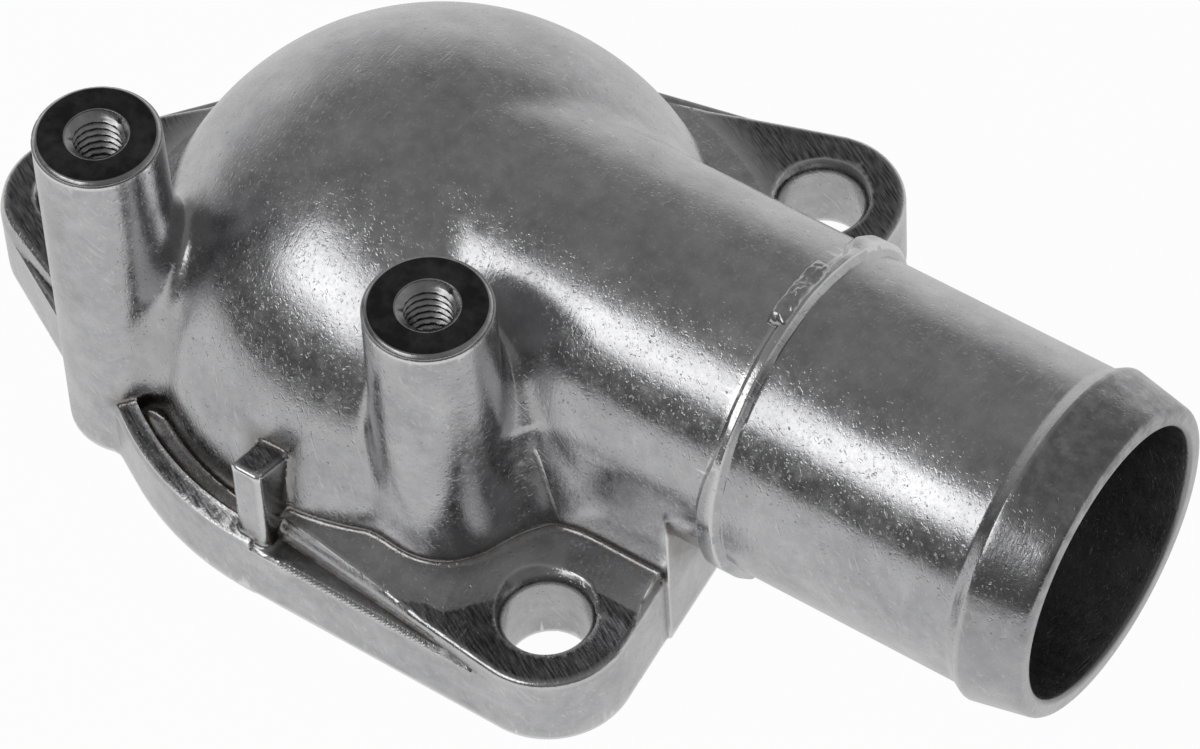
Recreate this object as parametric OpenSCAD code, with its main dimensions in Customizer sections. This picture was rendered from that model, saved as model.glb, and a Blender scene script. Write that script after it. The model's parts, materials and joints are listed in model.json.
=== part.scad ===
// Cast aluminium thermostat housing: a domed water chamber on a three-bolt flange,
// with a level hose outlet and two tall tapped bosses, all one casting.
// Origin: chamber axis on the sealing face. +Z up, +X along the outlet.

/* [Flange] */
// Height of the three bolt pads above the sealing face
pad_t = 9.5; // [7:0.1:14]
// Height of the round rim between the pads
rim_t = 7.8; // [5:0.1:9.5]
// Radius of the round part of the flange
flange_r = 36; // [35.5:0.1:38]
// Radius from the chamber axis to each bolt hole
bolt_circle_r = 42; // [39:0.1:46]
// Angle of the front bolt hole
bolt_angle_front = -40.4; // [-48:0.1:-36]
// Angle of the rear bolt hole
bolt_angle_rear = 52; // [46:0.1:58]
// Angle of the left bolt hole
bolt_angle_left = 191.5; // [186:0.1:196]
// Outer radius of each bolt pad
pad_r = 9; // [7.5:0.1:11]
// Diameter of each bolt hole
bolt_hole_d = 9; // [6.6:0.1:11]
// Width of the broken edge round each bolt hole
bolt_hole_edge = 0.7; // [0.3:0.1:1.2]
// Width of the milled edge round the pads
pad_edge = 0.6; // [0.3:0.1:1]

/* [Dome] */
// Outer radius of the dome
dome_r = 31.5; // [30:0.1:34]
// Thickness of the dome wall
dome_wall = 4.5; // [3:0.1:6]
// Width of the plinth round the foot of the dome and neck
plinth_w = 1.3; // [0.8:0.1:2]
// Height of the plinth above the bolt pads
plinth_h = 1.3; // [0.6:0.1:2.5]

/* [Thermostat seat] */
// Diameter of the thermostat seat
seat_d = 59; // [56:0.5:62]
// Depth of the thermostat seat
seat_depth = 3; // [1.5:0.1:5]

/* [Outlet] */
// Height of the outlet axis above the sealing face
outlet_z = 23.4; // [21:0.1:25]
// Outer diameter of the neck between dome and ring
neck_d = 35; // [33:0.1:36]
// Outer diameter of the hose spigot
spigot_d = 35; // [32:0.1:36]
// Diameter of the outlet bore
outlet_bore_d = 30; // [26:0.1:30.5]
// Draft of the outlet core behind the stop ring, taken off its radius at the chamber axis
core_draft = 0.6; // [0.2:0.1:1]
// Distance from the chamber axis to the mouth of the outlet
outlet_reach = 82; // [74:0.5:95]
// Distance from the chamber axis to the far side of the hose stop ring
ring_x = 47.2; // [44:0.1:52]
// Width of the hose stop ring
ring_w = 2; // [1:0.1:3]
// Height of the hose stop ring above the spigot
ring_h = 1; // [0.4:0.1:2]
// Angle that the trimmed gate pad covers on the ring
gate_span = 29; // [15:1:40]
// Angle from the top to the middle of the gate pad, towards the rear
gate_turn = 3; // [-20:1:20]
// Width of the gate pad
gate_w = 2.8; // [2:0.1:4]
// Height of the gate pad above the spigot
gate_h = 1.5; // [1:0.1:2.5]
// Length of the nose from the bead to the mouth
nose_len = 7; // [5:0.1:10]
// Height of the hose bead above the spigot
bead_h = 1; // [0.5:0.1:2]
// Length of the ramp on the inner side of the bead
bead_ramp = 1.4; // [0.8:0.1:3]
// Amount by which the nose narrows to the mouth, on the radius
nose_taper = 1.2; // [0.4:0.1:1.6]
// Radius of the rounded lip at the mouth
lip_r = 0.8; // [0.4:0.1:1]

/* [Bosses] */
// Distance of both bosses in front of the chamber axis
boss_y = 22.3; // [20:0.1:24]
// Position of the left boss along the outlet, from the chamber axis
boss_left_x = -24.5; // [-27:0.1:-22]
// Position of the front boss along the outlet, from the chamber axis
boss_front_x = 16.4; // [13:0.1:19]
// Height of the boss tops above the sealing face
boss_top = 44; // [38:0.5:52]
// Diameter of a boss at its top
boss_d = 13.4; // [11:0.1:15]
// Draft of a boss, added to the radius at the sealing face
boss_draft = 0.5; // [0:0.1:1]
// Width of the bevel round a boss top
boss_edge = 0.6; // [0.3:0.1:1]
// Diameter of the tapped holes, at the thread crests
tap_d = 5; // [4:0.1:6.8]
// Depth of the tapped holes
tap_depth = 17; // [10:0.5:22]
// Width of the countersink at a tapped hole
tap_edge = 0.8; // [0.4:0.1:1.2]
// Width of the web from the left boss to the dome
web_w = 9; // [6:0.1:12]
// Height of the top of that web above the sealing face
web_top = 31; // [26:0.5:36]
// Direction in which the gusset between the front boss and the skirt faces, from the outlet
gusset_turn = -34; // [-42:1:-26]
// Depth to which the face of the gusset is let into the front boss at its foot
gusset_inset = 0.2; // [0.1:0.1:1]
// Height of the face of the gusset above the sealing face
gusset_top = 25; // [20:0.5:28]
// Amount by which that face leans back from the plinth to its top
gusset_lean = 3; // [1:0.1:4]

/* [Rib and lip] */
// Width of the small upright rib
rib_w = 3.4; // [2:0.1:5]
// Position of the rib along the outlet, from the chamber axis
rib_x = 1; // [-3:0.1:3]
// Height of the rib above the sealing face
rib_top = 20; // [15:0.5:26]
// Width of the milled outer slope of the raised lip on the rim
lip_w = 2; // [1.2:0.1:2.4]
// Width of the inner slope of that lip
lip_back_w = 0.6; // [0.3:0.1:1]
// Height of the crest of the lip above the rim
lip_h = 1.5; // [0.6:0.1:2.5]

/* [Hidden] */
$fn = 96;
// Overrun of a cut past the face that it opens
over = 1;
// Depth to which one form is sunk in another so that both join
bury = 2;
// Depth to which a tangent side is let into its circles, so that they cross cleanly
tangent_inset = 0.02;

neck_r = neck_d / 2;
spigot_r = spigot_d / 2;
bore_r = outlet_bore_d / 2;
core_r = bore_r - core_draft;
chamber_r = dome_r - dome_wall;
dome_z = pad_t;
foot_z = pad_t + plinth_h;
land_r = dome_r + plinth_w;
bolt_angles = [bolt_angle_front, bolt_angle_rear, bolt_angle_left];
bosses = [[boss_left_x, -boss_y], [boss_front_x, -boss_y]];
gusset_r = boss_d / 2 - gusset_inset;
gusset_len = (boss_y - neck_r - gusset_r * sin(gusset_turn)) / cos(gusset_turn) + bury;
ring_x0 = ring_x - ring_w;
bead_x = outlet_reach - nose_len;
tip_r = spigot_r + bead_h - nose_taper;
rib_face_y = -flange_r + pad_edge;
lip_from = atan2(-boss_y, boss_left_x) + boss_d / 2 / flange_r * 180 / PI + 360;
lip_to = 270 - (rib_w / 2 - rib_x) / flange_r * 180 / PI;

function on_circle(r, a) = [r * cos(a), r * sin(a)];
function heading(v) = atan2(v.y, v.x);
// Angle between a line of centres and the normal of the outer tangent of two circles
function tangent_turn(v, r1, r2) = acos((r1 - r2) / norm(v));
function bolt_at(i) = on_circle(bolt_circle_r, bolt_angles[i]);
// Distance from the chamber axis to the straight flange side, measured along its normal
side_dir = heading(bolt_at(1) - bolt_at(0)) - 90;
side_at = bolt_at(0) * on_circle(1, side_dir) + pad_r;

// Area between the two outer tangents of two circles
module tangent_bridge(c1, r1, c2, r2) {
  turn = tangent_turn(c2 - c1, r1, r2);
  along = heading(c2 - c1);
  reach1 = r1 - tangent_inset;
  reach2 = r2 - tangent_inset;
  polygon([
    c1 + on_circle(reach1, along + turn),
    c2 + on_circle(reach2, along + turn),
    c2 + on_circle(reach2, along - turn),
    c1 + on_circle(reach1, along - turn)
  ]);
}

// Flange plan: a disc drawn out to the three bolt pads, with one straight side
module flange_plan(disc_r, ear_r) {
  circle(disc_r);
  for (i = [0 : 2]) {
    translate(bolt_at(i))
      circle(ear_r);
    tangent_bridge([0, 0], disc_r, bolt_at(i), ear_r);
  }
  tangent_bridge(bolt_at(0), ear_r, bolt_at(1), ear_r);
}

// Turns a form that stands on +Z so that it lies along the outlet
module along_outlet() {
  translate([0, 0, outlet_z])
    rotate([0, 90, 0])
      children();
}

// Part of the rim between the left boss and the rib, where the dome stands without a land
module gutter_plan() {
  translate([boss_left_x, -flange_r - over])
    square([rib_x - boss_left_x, flange_r + over - neck_r]);
}

module flange() {
  linear_extrude(rim_t)
    flange_plan(flange_r, pad_r);
  linear_extrude(pad_t)
    difference() {
      flange_plan(land_r, pad_r - pad_edge);
      gutter_plan();
    }
}

// Skirt plan: level sides as wide as the neck, ending flush with the straight flange side
module skirt_plan(half_w, proud) {
  intersection() {
    translate([0, -half_w])
      square([outlet_reach, 2 * half_w]);
    rotate(side_dir)
      translate([-outlet_reach, -outlet_reach])
        square([outlet_reach + side_at + proud, 2 * outlet_reach]);
  }
}

module dome() {
  cylinder(r = dome_r, h = dome_z);
  translate([0, 0, dome_z])
    sphere(dome_r);
}

// Low plinth that carries the dome, the neck and the front boss above the bolt pads
module plinth() {
  linear_extrude(foot_z) {
    difference() {
      circle(land_r);
      gutter_plan();
    }
    skirt_plan(neck_r + plinth_w, 0);
    translate(bosses[1]) {
      circle(boss_d / 2 + boss_draft + plinth_w);
      rotate(gusset_turn)
        square([gusset_r + plinth_w, gusset_len]);
    }
  }
}

module neck() {
  linear_extrude(outlet_z)
    skirt_plan(neck_r, pad_edge / 2);
  along_outlet()
    cylinder(r = neck_r, h = ring_x);
}

// Hose spigot, turned about the outlet axis: stop ring, hose land, bead and tapered nose
module spigot() {
  ease = ring_h / 2;
  along_outlet()
    rotate_extrude()
      polygon([
        [0, ring_x0 - bury],
        [neck_r, ring_x0 - bury],
        [neck_r, ring_x0],
        [spigot_r + ring_h, ring_x0 + ease],
        [spigot_r + ring_h, ring_x - ease],
        [spigot_r, ring_x],
        [spigot_r, bead_x - bead_ramp],
        [spigot_r + bead_h, bead_x],
        [tip_r, outlet_reach - lip_r],
        [tip_r - lip_r, outlet_reach],
        [0, outlet_reach]
      ]);
}

// Trimmed casting gate on top of the stop ring
module gate_pad() {
  along_outlet()
    translate([0, 0, ring_x - ring_w / 2 - gate_w + ring_h])
      rotate(180 - gate_turn - gate_span / 2)
        rotate_extrude(angle = gate_span)
          translate([spigot_r - bury, 0])
            square([bury + gate_h, gate_w]);
}

module boss(place) {
  top_r = boss_d / 2;
  translate(place)
    rotate_extrude()
      polygon([
        [0, 0],
        [top_r + boss_draft, 0],
        [top_r, boss_top - boss_edge],
        [top_r - boss_edge, boss_top],
        [0, boss_top]
      ]);
}

// Web that ties the left boss to the dome
module boss_web() {
  length = norm(bosses[0]);
  rotate(heading(bosses[0]))
    translate([0, -web_w / 2, 0])
      cube([length, web_w, web_top]);
}

// Leaning gusset that fills the corner between the front boss and the skirt
module gusset() {
  top_r = gusset_r - gusset_lean;
  sole_r = gusset_r + gusset_lean * foot_z / (gusset_top - foot_z);
  translate(bosses[1])
    rotate(gusset_turn)
      translate([0, gusset_len, 0])
        rotate([90, 0, 0])
          linear_extrude(gusset_len)
            polygon([
              [0, 0],
              [sole_r, 0],
              [top_r, gusset_top],
              [0, gusset_top + top_r]
            ]);
}

module rib() {
  back = dome_r - bury;
  translate([rib_x - rib_w / 2, rib_face_y, 0])
    cube([rib_w, -rib_face_y - back, rib_top]);
}

// Raised lip along the rim from the left boss to the rib
module rim_lip() {
  translate([0, 0, rim_t - bury])
    rotate(lip_from)
      rotate_extrude(angle = lip_to - lip_from)
        polygon([
          [flange_r - lip_w - lip_back_w, 0],
          [flange_r - lip_w - lip_back_w, bury],
          [flange_r - lip_w, bury + lip_h],
          [flange_r - pad_edge / 2, bury],
          [flange_r - pad_edge / 2, 0]
        ]);
}

module bolt_hole(i) {
  r = bolt_hole_d / 2;
  translate(bolt_at(i)) {
    translate([0, 0, -over])
      cylinder(r = r, h = pad_t + 2 * over);
    translate([0, 0, pad_t - bolt_hole_edge])
      cylinder(r1 = r, r2 = r + bolt_hole_edge + over, h = bolt_hole_edge + over);
  }
}

module tapped_hole(place) {
  r = tap_d / 2;
  translate([place.x, place.y, boss_top - tap_depth]) {
    translate([0, 0, -r / 2])
      cylinder(r1 = 0, r2 = r, h = r / 2);
    cylinder(r = r, h = tap_depth + over);
    translate([0, 0, tap_depth - tap_edge])
      cylinder(r1 = r, r2 = r + tap_edge + over, h = tap_edge + over);
  }
}

// Water space: thermostat seat, domed chamber, drafted outlet core and hose bore
module water_space() {
  translate([0, 0, -over])
    cylinder(d = seat_d, h = seat_depth + over);
  cylinder(r = chamber_r, h = dome_z);
  translate([0, 0, dome_z])
    sphere(chamber_r);
  along_outlet() {
    sphere(core_r + core_draft / 2);
    cylinder(r1 = core_r, r2 = bore_r, h = ring_x0);
    translate([0, 0, ring_x0])
      cylinder(r = bore_r, h = outlet_reach - ring_x0 + over);
  }
}

module housing() {
  color([0.74, 0.74, 0.75])
    difference() {
      union() {
        flange();
        plinth();
        intersection() {
          dome();
          cylinder(r = dome_r + over, h = dome_z + dome_r + over);
        }
        neck();
        spigot();
        gate_pad();
        for (place = bosses)
          boss(place);
        boss_web();
        gusset();
        rib();
        rim_lip();
      }
      water_space();
      for (i = [0 : 2])
        bolt_hole(i);
      for (place = bosses)
        tapped_hole(place);
    }
}

housing();
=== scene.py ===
"""Visual model of a die-cast aluminium coolant outlet housing, laid out as an add-on.

The casting is described as a distance field in millimetres: dome, neck, flange, bosses, rib and
lip are joined with soft cast fillets, the water space and the holes are cut out, and the field's
surface is meshed. The hose spigot and the tapped boss tops are turned shapes. Two thin rods draw
the cutter's scallops on the rim and the seam on the gusset.
"""

import functools
import json
import math

import bpy
import numpy as np
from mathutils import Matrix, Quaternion, Vector


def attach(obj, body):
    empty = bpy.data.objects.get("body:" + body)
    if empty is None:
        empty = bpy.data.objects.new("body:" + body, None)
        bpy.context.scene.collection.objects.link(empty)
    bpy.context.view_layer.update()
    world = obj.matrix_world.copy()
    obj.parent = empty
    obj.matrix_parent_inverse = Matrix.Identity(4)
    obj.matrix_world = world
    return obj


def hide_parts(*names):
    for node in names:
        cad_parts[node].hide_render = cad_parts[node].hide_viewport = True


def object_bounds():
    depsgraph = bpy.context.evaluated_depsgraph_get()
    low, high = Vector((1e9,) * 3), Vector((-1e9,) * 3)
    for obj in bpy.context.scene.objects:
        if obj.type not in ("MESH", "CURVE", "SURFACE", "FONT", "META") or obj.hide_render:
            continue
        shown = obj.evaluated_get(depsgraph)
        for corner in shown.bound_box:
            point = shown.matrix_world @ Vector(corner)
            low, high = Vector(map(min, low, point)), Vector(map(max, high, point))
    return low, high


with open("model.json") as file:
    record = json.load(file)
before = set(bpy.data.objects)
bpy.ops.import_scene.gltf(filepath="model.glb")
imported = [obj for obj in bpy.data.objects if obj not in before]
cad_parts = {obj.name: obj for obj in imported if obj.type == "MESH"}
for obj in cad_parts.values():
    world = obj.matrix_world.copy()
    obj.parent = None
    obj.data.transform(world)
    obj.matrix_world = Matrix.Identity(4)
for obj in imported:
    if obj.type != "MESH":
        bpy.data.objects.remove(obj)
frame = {"record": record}

bl_info = {
    "name": "Cast Coolant Outlet Housing",
    "version": (1, 0, 0),
    "blender": (4, 5, 0),
    "location": "View3D > Sidebar > Housing",
    "description": "Builds a die-cast housing with its cast skin, turned spigot and tapped bosses",
    "category": "Object",
}

NODE = "housing"
BODY = "root"
MM = 0.001
WHITE = (1.0, 1.0, 1.0)

MOUNTS = {mount["name"]: mount for mount in frame["record"]["mounts"]}
CAD_LOW, CAD_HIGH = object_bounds()
BOLT_MOUNTS = ("bolt_hole_front", "bolt_hole_rear", "bolt_hole_left")
BOSS_MOUNTS = ("boss_thread_left", "boss_thread_front")


def mount_at(name):
    """Place of a mount in millimetres."""
    return np.array(MOUNTS[name]["pos_m"]) / MM


def mount_radius(name):
    """Radius of a mount in millimetres."""
    return MOUNTS[name]["dims"]["r_mm"]


def length(name, value_mm, description):
    """A length property whose default is given in millimetres."""
    return bpy.props.FloatProperty(
        name=name, description=description, default=value_mm * MM, min=0.0, precision=5, unit="LENGTH"
    )


def colour(name, value, description):
    """A linear colour property."""
    return bpy.props.FloatVectorProperty(
        name=name, description=description, default=value, min=0.0, max=1.0, size=3, subtype="COLOR"
    )


def factor(name, value, description):
    """A plain number property from 0 to 1."""
    return bpy.props.FloatProperty(
        name=name, description=description, default=value, min=0.0, max=1.0, subtype="FACTOR"
    )


def bearing(name, degrees, description):
    """An angle property whose default is given in degrees."""
    return bpy.props.FloatProperty(
        name=name, description=description, default=math.radians(degrees), subtype="ANGLE"
    )


class CastingSizes(bpy.types.PropertyGroup):
    """Sizes of the casting"""

    rim_height: length("Rim height", 7.8, "Height of the round rim above the sealing face")
    pad_height: length("Pad height", 9.5, "Height of the bolt pads above the sealing face")
    rim_radius: length("Rim radius", 36.0, "Radius of the round part of the flange")
    pad_disc_radius: length("Pad disc radius", 32.8, "Radius of the raised land round the dome")
    ear_radius: length("Ear radius", 9.0, "Outer radius of each bolt ear")
    ear_bevel: length("Ear edge", 0.9, "Reach of the rounded top edge of the bolt pads")
    dome_radius: length("Dome radius", 31.5, "Outer radius of the dome")
    chamber_radius: length("Chamber radius", 27.0, "Radius of the domed water chamber")
    neck_radius: length("Neck radius", 17.5, "Outer radius of the outlet neck")
    core_draft: length("Core draft", 0.6, "Narrowing of the outlet core towards the chamber")
    neck_fillet: length("Neck fillet", 9.0, "Reach of the fillet between dome and neck")
    plinth_width: length("Plinth width", 0.9, "Width of the ledge round the foot of the body")
    plinth_height: length("Plinth height", 1.3, "Height of that ledge above the pads")
    boss_radius: length("Boss radius", 6.7, "Radius of a boss at its top")
    boss_draft: length("Boss draft", 0.5, "Growth of the boss radius down to the sealing face")
    boss_bevel: length("Boss bevel", 0.5, "Bevel round a boss top")
    boss_fillet: length("Boss fillet", 4.0, "Reach of the fillet between a boss and the body")
    gusset_top: length("Gusset top", 25.0, "Height of the gusset beside the front boss")
    gusset_lean: length("Gusset lean", 3.0, "Amount by which the gusset leans back to its top")
    rib_height: length("Rib height", 20.0, "Height of the small upright rib")
    rib_width: length("Rib width", 3.7, "Width of the small upright rib")
    rib_middle: length("Rib middle", 0.75, "Place of the rib along the outlet")
    lip_width: length("Lip width", 2.0, "Width of the milled slope of the raised lip")
    lip_height: length("Lip height", 1.5, "Height of the crest of the lip above the rim")
    cell: length("Mesh cell", 0.46, "Cell size of the mesh of the casting")
    fine_cell: length("Fine mesh cell", 0.3, "Cell height where the flange has its edges")


class SpigotSizes(bpy.types.PropertyGroup):
    """Sizes of the turned hose spigot"""

    radius: length("Spigot radius", 17.5, "Outer radius of the hose land")
    ring_start: length("Ring start", 45.2, "Distance from the chamber axis to the stop ring")
    ring_width: length("Ring width", 2.0, "Width of the hose stop ring")
    ring_height: length("Ring height", 1.0, "Height of the stop ring above the hose land")
    gate_width: length("Gate width", 2.6, "Width of the broken-off gate on the stop ring")
    gate_height: length("Gate height", 1.4, "Height of that gate above the hose land")
    nose: length("Nose length", 6.7, "Length from the ridge of the bead to the mouth")
    bead_height: length("Bead height", 0.9, "Height of the bead above the hose land")
    bead_ramp: length("Bead ramp", 1.6, "Length of the ramp on the inner side of the bead")
    nose_taper: length("Nose taper", 1.3, "Amount by which the nose narrows to the mouth")
    lip: length("Lip radius", 0.8, "Radius of the rounded lip at the mouth")
    bore_lip: length("Bore lip", 0.5, "Radius of the broken edge of the bore")


class ThreadSizes(bpy.types.PropertyGroup):
    """Sizes of the tapped holes"""

    pitch: length("Pitch", 1.0, "Distance from one thread turn to the next")
    depth: length("Thread depth", 0.54, "Depth of the thread below its crests")
    countersink: length("Countersink", 0.75, "Width of the countersink at the mouth of a hole")


class FinishLooks(bpy.types.PropertyGroup):
    """Colours and finish of the metal"""

    skin_dark: colour("Skin, dark", (0.42, 0.42, 0.43), "Darker patches of the cast skin")
    skin_light: colour("Skin, light", (0.61, 0.61, 0.62), "Lighter patches of the cast skin")
    # The worn-edge colour also carries painted light: the highlight on the rods, the ring crest and the
    # bead, and the sheen on the level pad flats.
    edge: colour("Worn edge", (0.80, 0.80, 0.80), "Metal on rubbed edges")
    # The grime colour serves the crease stain and the darker dents, and also the painted occlusion shade
    # in closed-in places.
    grime: colour("Grime", (0.20, 0.18, 0.16), "Stain that stays in the creases")
    # The turned colour is near black as a painted dark reflection on the level boss tops.
    turned: colour("Turned face", (0.045, 0.045, 0.048), "Turned boss tops")
    turned_stain: colour("Turned face, stain", (0.10, 0.10, 0.105), "Stains on the turned boss tops")
    cut: colour("Cut metal", (0.40, 0.40, 0.40), "Threads and broken edges of the bosses")
    # The milled colour is near black as a painted dark reflection on the level milled flats; the cutter
    # marks on them are real.
    milled: colour("Milled face", (0.08, 0.08, 0.083), "Milled flats of the flange")
    # Painted shade: the skin inside the water passage is darkened with this colour.
    wetted: colour("Wetted skin", (0.36, 0.36, 0.36), "Darker skin inside the water passage")
    skin_roughness: factor("Skin roughness", 0.21, "Middle roughness of the cast skin")
    turned_roughness: factor("Turned roughness", 0.24, "Roughness of the turned faces")


class StageSettings(bpy.types.PropertyGroup):
    """Camera, lights and floor"""

    azimuth: bearing("Azimuth", 37.408, "Camera angle round the object")
    elevation: bearing("Elevation", 52.342, "Camera angle above the floor")
    roll: bearing("Roll", -3.906, "Turn of the picture about the line of sight")
    distance: length("Distance", 687.6, "Distance from the camera to its target")
    target: bpy.props.FloatVectorProperty(
        name="Target", description="Point that the camera looks at",
        default=(0.02432, -0.00554, 0.0200), size=3, subtype="TRANSLATION", unit="LENGTH",
    )
    focal: bpy.props.FloatProperty(
        name="Focal length", description="Focal length on a 36 mm wide frame, in millimetres",
        default=202.1, min=10.0,
    )
    floor_colour: colour("Floor", (0.86, 0.86, 0.86), "Colour of the floor")


def smooth_min(a, b, reach):
    """Union of two fields with a fillet of the given reach."""
    reach = np.maximum(reach, 1e-6)
    share = np.maximum(reach - np.abs(a - b), 0.0) / reach
    return np.minimum(a, b) - share * share * reach * 0.25


def smooth_max(a, b, reach):
    """Intersection of two fields with a rounded edge of the given reach."""
    return -smooth_min(-a, -b, reach)


def common(*fields):
    """Intersection of several fields with sharp edges."""
    return functools.reduce(np.maximum, fields)


def circle(x, y, centre, radius):
    """Distance to a circle in plan."""
    return np.hypot(x - centre[0], y - centre[1]) - radius


def tangent_hull(x, y, c1, r1, c2, r2):
    """Distance in plan to two circles and the area between their outer tangents."""
    along = np.subtract(c2, c1)[:2]
    span = np.hypot(*along)
    along = along / span
    dx = x - c1[0]
    dy = y - c1[1]
    across = np.abs(dy * along[0] - dx * along[1])
    reach = dx * along[0] + dy * along[1]
    sine = (r1 - r2) / span
    cosine = math.sqrt(1.0 - sine * sine)
    place = cosine * reach - sine * across
    near = np.hypot(across, reach) - r1
    far = np.hypot(across, reach - span) - r2
    side = cosine * across + sine * reach - r1
    return np.where(place < 0.0, near, np.where(place > cosine * span, far, side))


class CastingField:
    """Distance field of the casting, in millimetres, below zero in the metal."""

    TAP_RUN_OUT = 0.8
    RIM_BEVEL = 0.3
    CUTTER_BEVEL = 0.5
    PAD_SLOPE = 0.25
    LEDGE_FILLET = 0.8
    GUSSET_TURN = math.radians(-34.0)
    GUSSET_FILLET = 0.6
    GUSSET_TOP_FILLET = 2.0
    GUSSET_TOP_REACH = 4.0
    CORE_FILLET = 3.0
    BOSS_FILLET_SHARES = (0.75, 0.25)
    FOOT_FILLET = 0.7
    RIB_FILLET = 0.8
    LIP_FILLET = 0.5

    def __init__(self, sizes, spigot):
        for name in sizes.__annotations__:
            setattr(self, name, getattr(sizes, name) / MM)
        self.ears = [mount_at(name)[:2] for name in BOLT_MOUNTS]
        self.hole_radius = mount_radius(BOLT_MOUNTS[0])
        self.bosses = [mount_at(name)[:2] for name in BOSS_MOUNTS]
        self.boss_top = CAD_HIGH.z / MM
        self.tap_radius = mount_radius(BOSS_MOUNTS[0])
        self.tap_floor = self.boss_top - MOUNTS[BOSS_MOUNTS[0]]["dims"]["length_mm"] - self.TAP_RUN_OUT
        self.outlet_height = mount_at("outlet_bore")[2]
        self.bore_radius = mount_radius("outlet_bore")
        self.seat_radius = mount_radius("thermostat_seat")
        self.seat_depth = MOUNTS["thermostat_seat"]["dims"]["length_mm"]
        self.neck_end = spigot.ring_start / MM
        self.foot = self.pad_height + self.plinth_height
        side = self.ears[1] - self.ears[0]
        self.side = np.array([side[1], -side[0]]) / np.hypot(*side)
        self.side_at = self.ears[0] @ self.side + self.ear_radius

    def plan(self, x, y, disc_radius):
        """Flange outline: a disc drawn out to the ears, with one straight side."""
        outline = circle(x, y, (0.0, 0.0), disc_radius)
        for ear in self.ears:
            hull = tangent_hull(x, y, (0.0, 0.0), disc_radius, ear, self.ear_radius)
            outline = np.minimum(outline, hull)
        front, rear = self.ears[:2]
        side = tangent_hull(x, y, front, self.ear_radius, rear, self.ear_radius)
        return np.minimum(outline, side)

    def flange(self, x, y, z):
        """Rim with the raised bolt pads and the ledge that carries the body."""
        rim_plan = self.plan(x, y, self.rim_radius)
        tool_run = (x > self.rib_middle + self.rib_width) & (y < -self.dome_radius)
        rim_bevel = np.where(tool_run, self.CUTTER_BEVEL, self.RIM_BEVEL)
        bevel = (rim_plan + z - self.rim_height + rim_bevel) * math.sqrt(0.5)
        rim = common(rim_plan, z - self.rim_height, bevel)
        pad_plan = np.maximum(self.plan(x, y, self.pad_disc_radius), -self.gutter(x, y))
        beside_ears = np.minimum(*(circle(x, y, ear, self.ear_radius) for ear in self.ears[:2]))
        slope = self.PAD_SLOPE * np.clip(beside_ears / self.ear_radius, 0.0, 1.0)
        pad_wall = pad_plan + slope * np.maximum(z - self.rim_height, 0.0)
        pad = smooth_max(pad_wall, z - self.pad_height, self.ear_bevel)
        plinth = np.maximum(self.plinth(x, y, z), pad_plan + self.ear_bevel)
        return np.minimum(rim, smooth_min(pad, plinth, self.LEDGE_FILLET))

    def gutter(self, x, y):
        """Part of the rim between the left boss and the rib, where the land is left out."""
        return common(x - self.rib_middle, self.bosses[0][0] - x, y + self.neck_radius)

    def side_plane(self, x, y):
        """Distance in front of the straight flange side."""
        return x * self.side[0] + y * self.side[1] - self.side_at

    def gusset(self, x, y, z):
        """Leaning gusset that fills the corner between the front boss and the skirt."""
        along = np.array([math.cos(self.GUSSET_TURN), math.sin(self.GUSSET_TURN)])
        place = self.bosses[1]
        lean = self.gusset_lean / (self.gusset_top - self.foot)
        out = (x - place[0]) * along[0] + (y - place[1]) * along[1]
        side = (y - place[1]) * along[0] - (x - place[0]) * along[1]
        inset, overlap = 0.2, 2.0
        foot_reach = self.boss_radius - inset
        face = out - foot_reach + (z - self.foot) * lean
        top = (out + z - self.gusset_top - foot_reach + self.gusset_lean) * math.sqrt(0.5)
        span = (-place[1] - self.neck_radius - foot_reach * along[1]) / along[0] + overlap
        return common(face, top, -side, side - span, -out)

    def foot_plan(self, x, y):
        """Outline of the body at its foot."""
        inset = 0.8
        boss_blend, gusset_blend, skirt_blend = 5.0, 1.0, 2.0
        dome = circle(x, y, (0.0, 0.0), self.dome_radius)
        skirt = np.maximum(np.abs(y) - self.neck_radius, -x)
        boss = circle(x, y, self.bosses[1], self.boss_radius + self.boss_draft - inset)
        round_part = smooth_min(dome, boss, boss_blend)
        straight_part = smooth_min(skirt, self.gusset(x, y, self.foot), gusset_blend)
        return smooth_min(round_part, straight_part, skirt_blend)

    def plinth(self, x, y, z):
        """Ledge that carries the body above the pads."""
        fall, fall_cosine = 0.36, 0.94
        inner, edge, beyond = -2.0, 1.0, 1.0
        outline = self.foot_plan(x, y) - self.plinth_width
        apron = (z - self.foot + np.maximum(outline, inner) * fall) * fall_cosine
        ledge = smooth_max(apron, z - self.foot, edge)
        return np.maximum(ledge, outline - self.plinth_height / fall - beyond)

    def dome(self, x, y, z):
        """Dome on a short upright wall."""
        rise = np.maximum(z - self.pad_height, 0.0)
        return np.sqrt(x * x + y * y + rise**2) - self.dome_radius

    def neck(self, x, y, z):
        """Outlet neck with a skirt that reaches down to the flange."""
        rise = z - self.outlet_height
        tube = np.hypot(y, rise) - self.neck_radius
        arch = np.hypot(y, np.maximum(rise, 0.0)) - self.neck_radius
        proud = 0.3
        skirt = np.maximum(arch, self.side_plane(x, y) - proud)
        return np.maximum(np.minimum(tube, skirt), -x)

    def body(self, x, y, z):
        """Dome and neck, joined by a fillet that fades where they run level."""
        dome = self.dome(x, y, z)
        neck = self.neck(x, y, z)
        reach = np.sqrt(x * x + y * y + np.maximum(z - self.pad_height, 0.0) ** 2) + 1e-6
        rise = np.maximum(z - self.outlet_height, 0.0)
        neck_reach = np.hypot(y, rise) + 1e-6
        level = (y * y + np.maximum(z - self.pad_height, 0.0) * rise) / (reach * neck_reach)
        return smooth_min(dome, neck, self.neck_fillet * np.clip(1.0 - level, 0.0, 1.0))

    def boss(self, x, y, z, place):
        """Tall tapered boss."""
        radius = self.boss_radius + self.boss_draft * (1.0 - z / self.boss_top)
        return circle(x, y, place, radius)

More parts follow.
